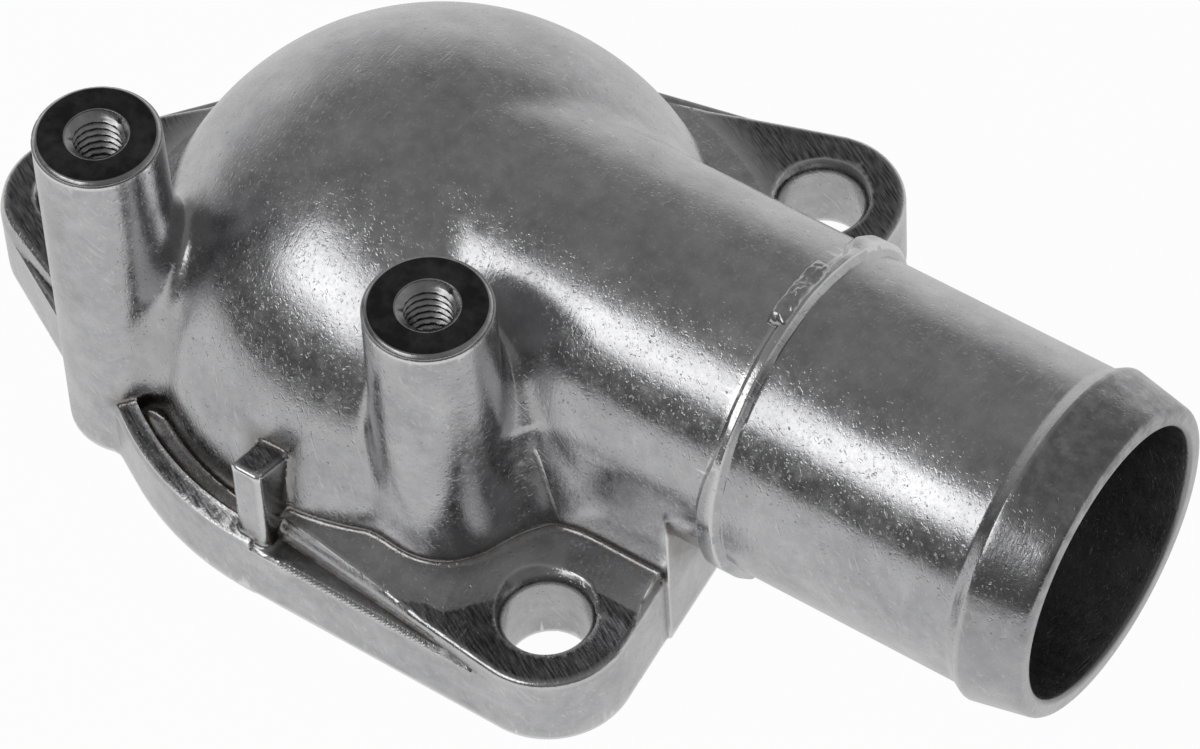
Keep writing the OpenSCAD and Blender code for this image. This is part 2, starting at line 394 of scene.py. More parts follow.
    def rib(self, x, y, z):
        """Small upright rib at the front of the rim."""
        set_back, root = 0.8, 6.0
        edge, fall = 0.75, 0.3
        face = -self.rim_radius + set_back
        back = -self.dome_radius + root
        qx = np.abs(x - self.rib_middle) - self.rib_width / 2 + edge
        qy = np.abs(y - (face + back) / 2) - (back - face) / 2 + edge
        qz = z - self.rib_height + edge + (y - face) * fall
        outside = np.sqrt(np.maximum(qx, 0) ** 2 + np.maximum(qy, 0) ** 2 + np.maximum(qz, 0) ** 2)
        return outside + np.minimum(common(qx, qy, qz), 0.0) - edge

    def lip(self, x, y, z):
        """Raised lip on the rim from the left boss to the rib, its top milled to a slope."""
        across = np.hypot(x, y) - self.rim_radius
        rise = z - self.rim_height
        fall = 0.5
        slope = (fall * (across + self.lip_width) + rise - self.lip_height) / math.hypot(1.0, fall)
        inward, upward = 0.93, 0.38
        inside = (-self.lip_width - across) * inward + (rise - self.lip_height) * upward
        inset = 0.1
        return common(slope, inside, across + inset, x - self.rib_middle, self.bosses[0][0] - x, y)

    def water_space(self, x, y, z):
        """Thermostat seat, domed chamber and outlet bore."""
        around = np.hypot(x, y)
        seat = np.maximum(around - self.seat_radius, z - self.seat_depth)
        chamber = np.sqrt(around**2 + np.maximum(z - self.pad_height, 0.0) ** 2) - self.chamber_radius
        rise = z - self.outlet_height
        narrowing = self.core_draft * np.clip(1.0 - x / self.neck_end, 0.0, 1.0)
        bore = np.sqrt(np.minimum(x, 0.0) ** 2 + y * y + rise * rise) - self.bore_radius + narrowing
        return np.minimum(seat, smooth_min(chamber, bore, self.CORE_FILLET))

    def holes(self, x, y, z):
        """Bolt holes with broken edges, and room for the tapped sleeves."""
        broken, blend, above = 0.75, 0.6, 1.0
        found = None
        for ear in self.ears:
            around = np.hypot(x - ear[0], y - ear[1])
            hole = around - self.hole_radius
            cone = (around - self.hole_radius - broken - z + self.pad_height) * math.sqrt(0.5)
            mouth = np.maximum(cone, around - self.hole_radius - 2.0 * broken)
            hole = smooth_min(hole, mouth, blend)
            hole = np.maximum(hole, z - self.foot - above)
            found = hole if found is None else np.minimum(found, hole)
        for place in self.bosses:
            around = circle(x, y, place, self.tap_radius + ThreadSleeve.WALL)
            found = np.minimum(found, np.maximum(around, self.tap_floor - z))
        return found

    def __call__(self, x, y, z):
        metal = self.body(x, y, z)
        left, front = (self.boss(x, y, z, place) for place in self.bosses)
        metal = smooth_min(metal, left, self.boss_fillet)
        outlet_side = np.clip((x - self.bosses[1][0]) / self.boss_radius, -1.0, 1.0)
        share, swing = self.BOSS_FILLET_SHARES
        metal = smooth_min(metal, front, self.boss_fillet * (share + swing * outlet_side))
        run = self.GUSSET_TOP_REACH
        near_top = np.clip((z - self.gusset_top + run) / run, 0.0, 1.0)
        gusset_reach = self.GUSSET_FILLET + self.GUSSET_TOP_FILLET * near_top
        metal = smooth_min(metal, self.gusset(x, y, z), gusset_reach)
        metal = smooth_min(metal, self.flange(x, y, z), self.FOOT_FILLET)
        metal = smooth_min(metal, self.rib(x, y, z), self.RIB_FILLET)
        metal = smooth_min(metal, self.lip(x, y, z), self.LIP_FILLET)
        boss_cut = z - self.boss_top + self.boss_bevel
        water = self.water_space(x, y, z)
        return common(metal, boss_cut, x - self.neck_end, -z, -water, -self.holes(x, y, z))


def graded_axis(low, high, cell, fine=None):
    """Grid places from low to high, closer together inside the fine range."""
    places = [low]
    while places[-1] < high:
        step = cell
        if fine and fine[0] <= places[-1] < fine[1]:
            step = fine[2]
        places.append(places[-1] + step)
    return np.array(places)


class SurfaceMesher:
    """Meshes a field's zero surface by dual contouring, which keeps its sharp edges."""

    PULL = 0.02
    STEPS = 4
    PROBE = 0.02
    LAYERS = 6
    END_SHARE = 0.02

    def __init__(self, field, axes):
        self.field = field
        self.axes = axes
        self.cells = np.array([len(axis) - 1 for axis in axes])

    def crossings(self, values, axis):
        """Places where grid edges along one axis pass through the surface."""
        inside = values < 0.0
        first = [slice(None)] * 3
        last = [slice(None)] * 3
        first[axis] = slice(None, -1)
        last[axis] = slice(1, None)
        node = np.argwhere(inside[tuple(first)] != inside[tuple(last)])
        low = np.stack([self.axes[i][node[:, i]] for i in range(3)], axis=1)
        far = node.copy()
        far[:, axis] += 1
        start = low[:, axis].copy()
        end = self.axes[axis][far[:, axis]]
        value_start = values[tuple(node.T)].astype(float)
        value_end = values[tuple(far.T)].astype(float)
        outward = value_start < 0.0
        point = low.copy()
        for _ in range(self.STEPS):
            share = np.clip(value_start / (value_start - value_end), self.END_SHARE, 1.0 - self.END_SHARE)
            point[:, axis] = start + share * (end - start)
            value = self.field(*point.T)
            same = (value < 0.0) == (value_start < 0.0)
            start = np.where(same, point[:, axis], start)
            value_start = np.where(same, value, value_start)
            end = np.where(same, end, point[:, axis])
            value_end = np.where(same, value_end, value)
        share = np.clip(value_start / (value_start - value_end), 0.0, 1.0)
        point[:, axis] = start + share * (end - start)
        return node, point, outward

    def normals(self, point):
        """Outward directions of the field at given points."""
        slope = np.empty_like(point)
        for i in range(3):
            step = np.zeros(3)
            step[i] = self.PROBE
            slope[:, i] = self.field(*(point + step).T) - self.field(*(point - step).T)
        return slope / np.maximum(np.linalg.norm(slope, axis=1, keepdims=True), 1e-9)

    def grid_values(self):
        """The field at every grid node, worked out a few layers at a time."""
        x, y, z = self.axes
        layers = []
        for start in range(0, len(z), self.LAYERS):
            part = z[None, None, start:start + self.LAYERS]
            layers.append(self.field(x[:, None, None], y[None, :, None], part).astype(np.float32))
        return np.concatenate(layers, axis=2)

    def mesh(self):
        """Corner points and quads of the surface."""
        values = self.grid_values()
        points, owners, quads = [], [], []
        for axis in range(3):
            node, point, outward = self.crossings(values, axis)
            u, v = (axis + 1) % 3, (axis + 2) % 3
            ring = []
            for du, dv in ((-1, -1), (0, -1), (0, 0), (-1, 0)):
                cell = node.copy()
                cell[:, u] += du
                cell[:, v] += dv
                ring.append(np.ravel_multi_index(tuple(cell.T), tuple(self.cells)))
            ring = np.stack(ring, axis=1)
            points.append(point)
            owners.append(ring)
            quads.append(np.where(outward[:, None], ring, ring[:, ::-1]))
        points = np.concatenate(points)
        owners = np.concatenate(owners)
        quads = np.concatenate(quads)
        used, index = np.unique(owners.ravel(), return_inverse=True)
        corners = self.place_corners(points, index.reshape(-1), used)
        return corners, np.searchsorted(used, quads)

    def place_corners(self, points, index, used):
        """The point in each cell that fits best to the tangent planes of its crossings."""
        normals = self.normals(points)
        count = len(used)
        spread = np.repeat(points, 4, axis=0)
        facing = np.repeat(normals, 4, axis=0)

        def total(weights):
            return np.bincount(index, weights=weights, minlength=count)

        number = total(np.ones(len(index)))
        middle = np.stack([total(spread[:, i]) / number for i in range(3)], axis=1)
        offset = np.einsum("ij,ij->i", facing, spread - middle[index])
        matrix = np.empty((count, 3, 3))
        target = np.empty((count, 3))
        for i in range(3):
            target[:, i] = total(facing[:, i] * offset)
            for j in range(3):
                matrix[:, i, j] = total(facing[:, i] * facing[:, j])
        matrix += np.eye(3) * self.PULL
        moved = middle + np.linalg.solve(matrix, target[:, :, None])[:, :, 0]
        cell = np.stack(np.unravel_index(used, tuple(self.cells)), axis=1)
        low = np.stack([self.axes[i][cell[:, i]] for i in range(3)], axis=1)
        high = np.stack([self.axes[i][cell[:, i] + 1] for i in range(3)], axis=1)
        return np.clip(moved, low, high)


def add_piece(name, corners_mm, faces, materials):
    """A mesh piece from points in millimetres, riding on the housing's body in its place."""
    mesh = bpy.data.meshes.new(name)
    mesh.from_pydata(np.asarray(corners_mm) * MM, [], faces)
    mesh.validate()
    mesh.update()
    for material in materials:
        mesh.materials.append(material)
    piece = bpy.data.objects.new(name, mesh)
    bpy.context.scene.collection.objects.link(piece)
    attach(piece, BODY)
    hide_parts(NODE)
    return piece


def shade(piece, sharp_degrees):
    """Smooth shading with sharp edges where faces meet at a larger angle."""
    piece.data.shade_smooth()
    piece.data.set_sharp_from_angle(angle=math.radians(sharp_degrees))


def thin_out(piece, most_triangles):
    """Merges the faces of flat places until the mesh has few enough triangles."""
    triangles = sum(len(face.vertices) - 2 for face in piece.data.polygons)
    if triangles <= most_triangles:
        return
    modifier = piece.modifiers.new("Thin out", "DECIMATE")
    modifier.ratio = most_triangles / triangles
    bpy.context.view_layer.update()
    graph = bpy.context.evaluated_depsgraph_get()
    thinned = bpy.data.meshes.new_from_object(piece.evaluated_get(graph))
    piece.modifiers.clear()
    heavy = piece.data
    name = heavy.name
    piece.data = thinned
    bpy.data.meshes.remove(heavy)
    thinned.name = name


def store(piece, name, values):
    """Stores one value per corner for the material."""
    attribute = piece.data.attributes.new(name, "FLOAT", "POINT")
    attribute.data.foreach_set("value", np.clip(values, 0.0, 2.0).astype(np.float32))


def corner_vectors(piece, key):
    """One vector for each corner of a piece, such as its place or its normal."""
    values = np.empty(len(piece.data.vertices) * 3)
    piece.data.vertices.foreach_get(key, values)
    return values.reshape(-1, 3)


def note_wear_and_shade(piece, field):
    """Stores on each corner how rubbed and creased it is, how far it lies on the level milled flats that
    take a painted dark shade, and how closed in it is, for a painted occlusion shade.
    """
    probe = 0.7
    level_from, level_blend = 0.86, 0.03
    rim_slack, pad_slack, rim_share = 0.2, 0.15, 0.25
    rib_depth, rib_top = 2.5, 3.0
    reaches = (1.5, 3.0, 6.0)
    occlusion_fade = 6.0
    points = corner_vectors(piece, "co") / MM
    facing = corner_vectors(piece, "normal")
    upward = np.clip((facing[:, 2] - level_from) / level_blend, 0.0, 1.0)
    x, y, z = points.T
    rim_end = field.rim_height + rim_slack
    on_rim = (z > 1.0) & (z < rim_end)
    on_pad = (z > rim_end) & (z < field.pad_height + pad_slack)
    on_rib = (np.abs(x - field.rib_middle) < field.rib_width) & (y < -field.dome_radius + rib_depth)
    on_rib = on_rib & (z > field.rib_height - rib_top)
    # Painted occlusion shade: how closed in each corner is by nearby metal, faded out high up and on
    # level faces; the material darkens these places with it.
    shelter = np.zeros(len(points))
    for reach in reaches:
        room = field(*(points + facing * reach).T) / reach
        shelter += np.clip(1.0 - room, 0.0, 1.0) / len(reaches)
    shelter *= np.clip((field.gusset_top - z) / occlusion_fade, 0.0, 1.0) * (1.0 - upward)
    bend = -6.0 * field(*points.T)
    for step in np.eye(3) * probe:
        bend = bend + field(*(points + step).T) + field(*(points - step).T)
    bend = bend / probe
    store(piece, "edge_wear", bend)
    store(piece, "crease", -bend)
    # These level milled flats take the near-black milled colour, a painted dark shade.
    store(piece, "milled", upward * np.where(on_rim, rim_share, on_pad | on_rib))
    store(piece, "shelter", shelter)


def turned_mesh(profile, segments):
    """Points (radius, angle, along) and quads of a closed profile turned about its axis."""
    rows = len(profile)
    radius = np.repeat(profile[:, 0], segments)
    along = np.repeat(profile[:, 1], segments)
    angle = np.tile(np.arange(segments) * 2.0 * math.pi / segments, rows)
    row, column = np.meshgrid(np.arange(rows), np.arange(segments), indexing="ij")
    here = row * segments
    there = (row + 1) % rows * segments
    beside = (column + 1) % segments
    ring = [here + column, here + beside, there + beside, there + column]
    return radius, angle, along, np.stack(ring, axis=-1).reshape(-1, 4)


def rod_mesh(start, end, radii):
    """Points and quads of a thin rod between two points, with its radius given along it."""
    core, sides = 0.04, 10
    share = np.linspace(0.0, 1.0, len(radii))
    profile = np.concatenate([np.stack([radii, share], axis=1), [[core, 1.0], [core, 0.0]]])
    reach, angle, along, faces = turned_mesh(profile[::-1], sides)
    run = end - start
    across = np.cross((0.0, 0.0, 1.0), run)
    across = across / np.linalg.norm(across)
    rise = np.cross(run, across) / np.linalg.norm(run)
    offset = np.outer(reach * np.cos(angle), across) + np.outer(reach * np.sin(angle), rise)
    return start + np.outer(along, run) + offset, faces


def divide(points, step):
    """A closed outline with extra points, so that no side is longer than step."""
    found = []
    for start, end in zip(points, np.roll(points, -1, axis=0)):
        parts = max(1, math.ceil(np.hypot(*(end - start)) / step))
        for i in range(parts):
            found.append(start + (end - start) * i / parts)
    return np.array(found)


def rounded(points, radii):
    """An outline whose corners are rounded by the given radii."""
    found = []
    steps = 5
    count = len(points)
    for i, corner in enumerate(points):
        before = points[i - 1] - corner
        after = points[(i + 1) % count] - corner
        if radii[i] <= 0.0:
            found.append(corner)
            continue
        before = before / np.hypot(*before)
        after = after / np.hypot(*after)
        half = math.acos(np.clip(before @ after, -1.0, 1.0)) / 2.0
        reach = radii[i] / math.tan(half)
        start = corner + before * reach
        end = corner + after * reach
        for j in range(steps):
            t = j / (steps - 1)
            found.append((1 - t) ** 2 * start + 2 * t * (1 - t) * corner + t * t * end)
    return np.array(found)


def window(angle, middle_degrees, half_degrees):
    """Smooth hump over a range of angles, 1 at its middle and 0 outside."""
    turn = (np.degrees(angle) - middle_degrees + 180.0) % 360.0 - 180.0
    rise = np.clip(2.0 * (1.0 - np.abs(turn) / half_degrees), 0.0, 1.0)
    return rise * rise * (3.0 - 2.0 * rise)


def outlet_points(reach, angle, along):
    """Points given by distance from the outlet's axis, angle round it and place along it."""
    height = mount_at("outlet_bore")[2]
    return np.stack([along, reach * np.cos(angle), height + reach * np.sin(angle)], axis=1)


def block_faces(rows, columns):
    """Quads of a closed block made of two grids, the outer one first."""
    index = np.arange(rows * columns).reshape(rows, columns)
    corners = [index[:-1, :-1], index[1:, :-1], index[1:, 1:], index[:-1, 1:]]
    sheet = np.stack(corners, axis=-1).reshape(-1, 4)
    rim = np.concatenate([index[:-1, 0], index[-1, :-1], index[:0:-1, -1], index[0, :0:-1]])
    after = np.roll(rim, -1)
    under = rows * columns
    wall = np.stack([rim, rim + under, after + under, after], axis=-1)
    return np.concatenate([sheet, sheet[:, ::-1] + under, wall])


class ThreadSleeve:
    """Turned boss top with its countersink and the helical thread below it."""

    WALL = 0.9
    TURN_STEPS = 72
    PITCH_STEPS = 14
    FLANK = 2.6
    CREST_SHARE = 0.35

    def __init__(self, sizes, thread):
        self.boss_radius = sizes.boss_radius / MM
        self.bevel = sizes.boss_bevel / MM
        self.draft = sizes.boss_draft / MM
        self.pitch = thread.pitch / MM
        self.depth = thread.depth / MM
        self.countersink = thread.countersink / MM
        self.crest = mount_radius(BOSS_MOUNTS[0])
        self.top = CAD_HIGH.z / MM
        self.floor = self.top - MOUNTS[BOSS_MOUNTS[0]]["dims"]["length_mm"]

    def profile(self):
        """Closed outline (radius, height); the part marked as thread follows the helix."""
        seat = self.top - self.bevel
        outer = self.boss_radius + self.draft * self.bevel / self.top
        wall = self.crest + self.WALL
        mouth = self.crest + self.countersink
        cap = [[wall, seat], [outer, seat], [outer - self.bevel, self.top], [mouth, self.top]]
        cap = rounded(np.array(cap), [0.0, 0.15, 0.3, 0.12])
        start = np.array([self.crest, self.top - self.countersink])
        rows = int((start[1] - self.floor) / self.pitch * self.PITCH_STEPS)
        heights = np.linspace(start[1], self.floor, rows)
        thread = np.stack([np.full(rows, self.crest), heights], axis=1)
        flat = np.concatenate([cap, thread, [[wall, self.floor]]])
        marks = np.zeros(len(flat), bool)
        marks[len(cap):len(cap) + rows] = True
        return flat, marks

    def mesh(self, place):
        """Points and quads of the sleeve at a boss, and which quads lie off its level top."""
        profile, marks = self.profile()
        radius, angle, along, faces = turned_mesh(profile, self.TURN_STEPS)
        threaded = np.repeat(marks, self.TURN_STEPS)
        turn = (along / self.pitch - angle / (2.0 * math.pi)) % 1.0
        wave = np.clip(np.abs(turn - 0.5) * self.FLANK - self.CREST_SHARE, 0.0, 1.0)
        radius = radius + threaded * wave * self.depth
        sink = np.maximum(along - (self.top - self.countersink), 0.0)
        radius = np.maximum(radius, np.where(threaded, self.crest + sink, 0.0))
        x = place[0] + radius * np.cos(angle)
        y = place[1] + radius * np.sin(angle)
        level = np.abs(profile[:, 1] - self.top) < 1e-6
        cut = ~(level & np.roll(level, -1))
        return np.stack([x, y, along], axis=1), faces, np.repeat(cut, self.TURN_STEPS)


class NodeSheet:
    """Short hand for building the nodes of a new material or world."""

    def __init__(self, name, owners):
        self.owner = owners.new(name)
        self.owner.use_nodes = True
        self.nodes = self.owner.node_tree.nodes
        self.links = self.owner.node_tree.links
        self.shader = self.nodes.get("Principled BSDF")

    def add(self, kind, inputs=None, **settings):
        """A new node; inputs are numbers, colours or other nodes' sockets."""
        node = self.nodes.new(kind)
        for key, value in settings.items():
            setattr(node, key, value)
        for key, value in (inputs or {}).items():
            self.put(node.inputs[key], value)
        return node

    def put(self, socket, value):
        """Sets a socket, or links another socket to it."""
        if isinstance(value, bpy.types.NodeSocket):
            self.links.new(value, socket)
        elif hasattr(value, "__len__") and len(value) == 3 and socket.type == "RGBA":
            socket.default_value = (*value, 1.0)
        else:
            socket.default_value = value

    def place(self, stretch=(1.0, 1.0, 1.0), turn=(0.0, 0.0, 0.0)):
        """Object coordinates, turned and then drawn out along their axes."""
        coordinates = self.add("ShaderNodeTexCoord").outputs["Object"]
        inputs = {"Vector": coordinates, "Scale": stretch, "Rotation": turn}
        return self.add("ShaderNodeMapping", inputs, vector_type="TEXTURE").outputs[0]

    def noise(self, vector, scale, detail=3.0, rough=0.55):
        """Noise from 0 to 1."""
        inputs = {"Vector": vector, "Scale": scale, "Detail": detail, "Roughness": rough}
        return self.add("ShaderNodeTexNoise", inputs).outputs[0]

    def span(self, value, low, high, out_low=0.0, out_high=1.0):
        """Maps a range of a value to another, held at its ends."""
        source = {"Value": value, "From Min": low, "From Max": high}
        inputs = {**source, "To Min": out_low, "To Max": out_high}
        return self.add("ShaderNodeMapRange", inputs).outputs[0]

    def combine(self, operation, a, b):
        """Arithmetic on two values."""
        return self.add("ShaderNodeMath", {0: a, 1: b}, operation=operation).outputs[0]

    def times(self, a, b):
        """Product of two values."""
        return self.combine("MULTIPLY", a, b)

    def plus(self, a, b):
        """Sum of two values."""
        return self.combine("ADD", a, b)

    def larger(self, a, b):
        """The larger of two values."""
        return self.combine("MAXIMUM", a, b)

    def distance(self, a, b):
        """Distance of a point from an axis, from its two places across it."""
        squares = [self.combine("POWER", side, 2.0) for side in (a, b)]
        return self.combine("POWER", self.plus(*squares), 0.5)

    def mix(self, share, a, b, blend="MIX"):
        """Mixes two colours."""
        node = self.add("ShaderNodeMix", data_type="RGBA", blend_type=blend)
        self.put(node.inputs[0], share)
        self.put(node.inputs[6], a)
        self.put(node.inputs[7], b)
        return node.outputs[2]

    def attribute(self, name):
        """A value stored on the mesh."""
        return self.add("ShaderNodeAttribute", attribute_name=name).outputs["Fac"]

    def warp(self, vector, scale, reach_mm):
        """Coordinates that noise shifts to and fro."""
        inputs = {"Vector": vector, "Scale": scale, "Detail": 2.0}
        drift = self.add("ShaderNodeTexNoise", inputs).outputs["Color"]
        inputs = {0: drift, 1: (reach_mm * MM,) * 3, 2: vector}
        return self.add("ShaderNodeVectorMath", inputs, operation="MULTIPLY_ADD").outputs[0]

    def dents(self, vector, scale, size, sparse):
        """Small dents, from 0 to 1; the higher sparse, the fewer of them."""
        cells = self.add("ShaderNodeTexVoronoi", {"Vector": vector, "Scale": scale}).outputs["Distance"]
        thinly = self.span(self.noise(vector, scale * 0.45), sparse, sparse + 0.08)
        return self.times(self.span(cells, size * 0.5, size, 1.0, 0.0), thinly)

    def metal(self, base, rough, normal):
        """The material as a metal with the given colour, roughness and normal."""
        inputs = {"Base Color": base, "Metallic": 1.0, "Roughness": rough, "Normal": normal}
        for key, value in inputs.items():
            self.put(self.shader.inputs[key], value)
        return self.owner

    def bump(self, height, depth_mm, strength=1.0, under=None):
        """A bump of the given depth, on top of another."""
        inputs = {"Height": height, "Strength": strength, "Distance": depth_mm * MM}
        if under is not None:
            inputs["Normal"] = under
        return self.add("ShaderNodeBump", inputs).outputs[0]


def cast_skin(looks, nose):
    """Tumbled cast aluminium with rubbed edges, crease stains and stains on top of the nose, plus painted
    light: shade on the milled flats, closed-in places and the water passage, a sheen on the pad flats and
    a highlight on the rods, the ring crest and the bead.
    """
    sheet = NodeSheet("cast_skin", bpy.data.materials)
    even = sheet.place()
    mottle = sheet.noise(even, 130.0, detail=4.0, rough=0.6)
    patches = sheet.noise(even, 560.0, detail=4.0, rough=0.65)
    grain = sheet.noise(even, 2400.0, rough=0.65)
    hoops = sheet.noise(sheet.place((1.0, 7.0, 7.0)), 3000.0, detail=2.0, rough=0.6)
    cutter_lines = sheet.place((9.0, 1.0, 1.0), (0.0, 0.0, -0.5))
    milling = sheet.noise(cutter_lines, 4200.0, detail=2.0, rough=0.6)
    scratches = 0.0
    for turn in ((0.4, 0.9, 0.3), (1.3, 0.2, 1.6), (0.2, 2.1, 2.6)):
        lines = sheet.noise(sheet.place((11.0, 1.0, 1.0), turn), 2600.0, detail=1.0, rough=0.5)
        scratches = sheet.larger(scratches, sheet.span(lines, 0.66, 0.74))
    warped = sheet.warp(even, 1100.0, reach_mm=1.1)
    large_pits = sheet.dents(warped, 700.0, size=0.18, sparse=0.57)
    pits = sheet.larger(large_pits, sheet.dents(warped, 1500.0, size=0.26, sparse=0.52))
    stored = ("edge_wear", "crease", "milled", "shelter")
    wear, crease, milled, shelter = (sheet.attribute(name) for name in stored)
    along, across, height = sheet.add("ShaderNodeSeparateXYZ", {0: even}).outputs
    cutter_run = cutter_band(sheet, along, across, height)
    # Level pad flats off the cutter's run get a painted sheen; those in its run get the painted dark
    # shade.
    painted_pad_sheen = sheet.times(milled, sheet.combine("SUBTRACT", 1.0, cutter_run))
    milled = sheet.times(milled, cutter_run)
    in_passage = wetted(sheet, along, across, height)

    tone = sheet.plus(mottle, sheet.times(patches, 0.7))
    base = sheet.mix(sheet.span(tone, 0.62, 1.08), looks.skin_dark, looks.skin_light)
    base = sheet.mix(sheet.times(scratches, 0.3), base, looks.edge)
    on_nose = sheet.span(along, nose - 0.4 * MM, nose, 0.0, 0.6)
    on_top = sheet.span(height, 20.0 * MM, 36.0 * MM)
    darkened = sheet.times(sheet.times(on_nose, on_top), sheet.span(patches, 0.3, 0.6))
    base = sheet.mix(darkened, base, looks.turned_stain)
    # Painted sheen: the level pad flats off the cutter's run are lightened towards the worn-edge colour.
    base = sheet.mix(sheet.times(painted_pad_sheen, 0.75), base, looks.edge)
    # Painted shade: the level milled flats in the cutter's run are darkened to the near-black milled
    # colour, with the cutter marks mixed in.
    cutter = sheet.mix(sheet.span(milling, 0.35, 0.8), looks.milled, looks.skin_dark)
    base = sheet.mix(milled, base, cutter)
    # Painted shade: places closed in by nearby metal are darkened towards the grime colour.
    base = sheet.mix(sheet.span(shelter, 0.12, 0.62, 0.0, 0.7), base, looks.grime)
    # Rubbed edges lighten towards the worn-edge colour; on the rods, the ring crest and the bead this is
    # a painted highlight.
    base = sheet.mix(sheet.span(wear, 0.40, 1.3), base, looks.edge)
    stain = sheet.times(sheet.span(crease, 0.15, 1.0), sheet.span(patches, 0.35, 0.65, 0.3, 0.85))
    base = sheet.mix(stain, base, looks.grime)
    base = sheet.mix(sheet.times(pits, 0.12), base, looks.grime)
    # Painted shade: the inside of the water passage is darkened.
    base = sheet.mix(in_passage, base, looks.wetted)

    middle = looks.skin_roughness
    uneven = sheet.plus(patches, sheet.times(grain, 0.7))
    rough = sheet.span(uneven, 0.5, 1.2, middle - 0.09, middle + 0.12)
    rough = sheet.plus(rough, sheet.times(in_passage, 0.16))

    normal = None
    for relief, depth_mm, strength in (
        (sheet.noise(even, 260.0, detail=2.0), 0.09, 0.4),
        (grain, 0.024, 0.6),
        (hoops, 0.022, 0.6),
        (sheet.times(milling, milled), 0.030, 0.6),
        (sheet.times(scratches, -1.0), 0.020, 0.6),
        (sheet.times(pits, -1.0), 0.03, 0.7),
    ):
        normal = sheet.bump(relief, depth_mm, strength, normal)
    return sheet.metal(base, rough, normal)


def cutter_band(sheet, x, y, height):
    """Share of the cutter's run: the outer parts of the bolt pads, and all that lies off the pads."""
    outer_edge = (36.0 * MM, 40.0 * MM)
    front_edge = (-32.2 * MM, -29.0 * MM)
    front_lean = 0.106
    pad_floor = (8.8 * MM, 9.0 * MM)
    pad_roof = (11.0 * MM, 12.0 * MM)
    outer = sheet.span(sheet.distance(x, y), *outer_edge)
    front = sheet.span(sheet.plus(y, sheet.times(x, front_lean)), *front_edge, 1.0, 0.0)
    below = sheet.span(height, *pad_floor, 1.0, 0.0)
    above = sheet.span(height, *pad_roof)
    return sheet.larger(sheet.larger(outer, front), sheet.larger(below, above))


def wetted(sheet, x, y, height):
    """Share of the inside of the water passage, by distance from the outlet's axis, where the colour is
    darkened as painted shade and the roughness raised.
    """
    rise = sheet.combine("SUBTRACT", height, mount_at("outlet_bore")[2] * MM)
    wall = mount_radius("outlet_bore") + 0.2
    inside = sheet.span(sheet.distance(y, rise), wall * MM, (wall + 0.4) * MM, 1.0, 0.0)
    return sheet.times(inside, sheet.span(x, 0.0, 1.0 * MM))


def turned_metal(name, looks, plain, stained):
    """Machined metal, stained in places."""
    sheet = NodeSheet(name, bpy.data.materials)
    even = sheet.place()
    grain = sheet.noise(even, 1800.0, rough=0.6)
    stains = sheet.noise(even, 420.0, rough=0.6)
    base = sheet.mix(sheet.span(stains, 0.4, 0.68), plain, stained)
    middle = looks.turned_roughness
    rough = sheet.span(grain, 0.3, 0.7, middle - 0.06, middle + 0.1)
    return sheet.metal(base, rough, sheet.bump(grain, 0.012, 0.5))


def aim(piece, azimuth, elevation, distance, target=(0.0, 0.0, 0.0), roll=0.0):
    """Puts a lamp or camera at a distance from its target, facing it."""
    level = math.cos(elevation)
    back = Vector((math.sin(azimuth) * level, -math.cos(azimuth) * level, math.sin(elevation)))
    piece.location = Vector(target) + back * distance
    piece.rotation_mode = "QUATERNION"
    turn = Quaternion((0.0, 0.0, 1.0), roll)
    piece.rotation_quaternion = (-back).to_track_quat("-Z", "Y") @ turn
    bpy.context.scene.collection.objects.link(piece)


class HOUSING_OT_casting(bpy.types.Operator):
    """Builds the cast body from flange to bosses, the scallops on its rim and the seam"""

    bl_idname = "housing.casting"
    bl_label = "Casting"

    MARGIN = 0.7
    FINE_MARGINS = (1.2, 0.6)
    MOST_TRIANGLES = 190000

    def execute(self, context):
        scene = context.scene
        sizes = scene.casting_sizes
        field = CastingField(sizes, scene.spigot_sizes)
        cell = sizes.cell / MM
        below, above = self.FINE_MARGINS
        fine = (sizes.rim_height / MM - below, field.foot + above, sizes.fine_cell / MM)
        low = np.array(CAD_LOW) / MM - self.MARGIN
        high = np.array(CAD_HIGH) / MM + self.MARGIN
        high[0] = field.neck_end + self.MARGIN
        axes = [
            graded_axis(low[0], high[0], cell),
            graded_axis(low[1], high[1], cell),
            graded_axis(low[2], high[2], cell, fine),
        ]
        corners, quads = SurfaceMesher(field, axes).mesh()
        skin = cast_skin(scene.finish_looks, CAD_HIGH.x)
        piece = add_piece("casting", corners, quads, [skin])
        thin_out(piece, self.MOST_TRIANGLES)
        note_wear_and_shade(piece, field)
        shade(piece, sharp_degrees=38.0)
        for name, rod in (("rim_scallops", self.scallops(field)), ("gusset_seam", self.seam(field))):
            piece = add_piece(name, *rod, [skin])
            # Painted highlight: the whole scallop and seam rods are lightened to the worn-edge colour.
            store(piece, "edge_wear", np.ones(len(piece.data.vertices)))
            shade(piece, sharp_degrees=60.0)
        return {"FINISHED"}

    def scallops(self, field):
        """Row of small scallops that the cutter left along the front edge of the rim."""
        pitch, root, swell, sunk, steps = 0.62, 0.2, 0.22, 0.28, 340
        first = field.rib_middle + field.rib_width
        last = field.bosses[1][0] + field.boss_radius
        ear = field.ears[0]
        lean = (ear[1] - field.ear_radius + field.rim_radius) / ear[0]
        ends = [(x, sunk - field.rim_radius + lean * x, field.rim_height - sunk) for x in (first, last)]
        turns = np.linspace(0.0, math.pi * (last - first) / pitch, steps)
        return rod_mesh(*np.array(ends), root + swell * np.abs(np.sin(turns)))

    def seam(self, field):
        """Thin raised seam along the line where the gusset runs out on the skirt."""
        proud, below, above = 0.35, 0.2, 0.4
        foot_x, top_x = 27.6, 23.9
        thin, swell, steps = 0.15, 0.4, 60
        front = -field.neck_radius - proud
        low = np.array([foot_x, front, field.foot + below])
        high = np.array([top_x, front, field.gusset_top + above])
        share = np.linspace(-1.0, 1.0, steps)
        return rod_mesh(low, high, thin + swell * np.sqrt(1.0 - share**2))


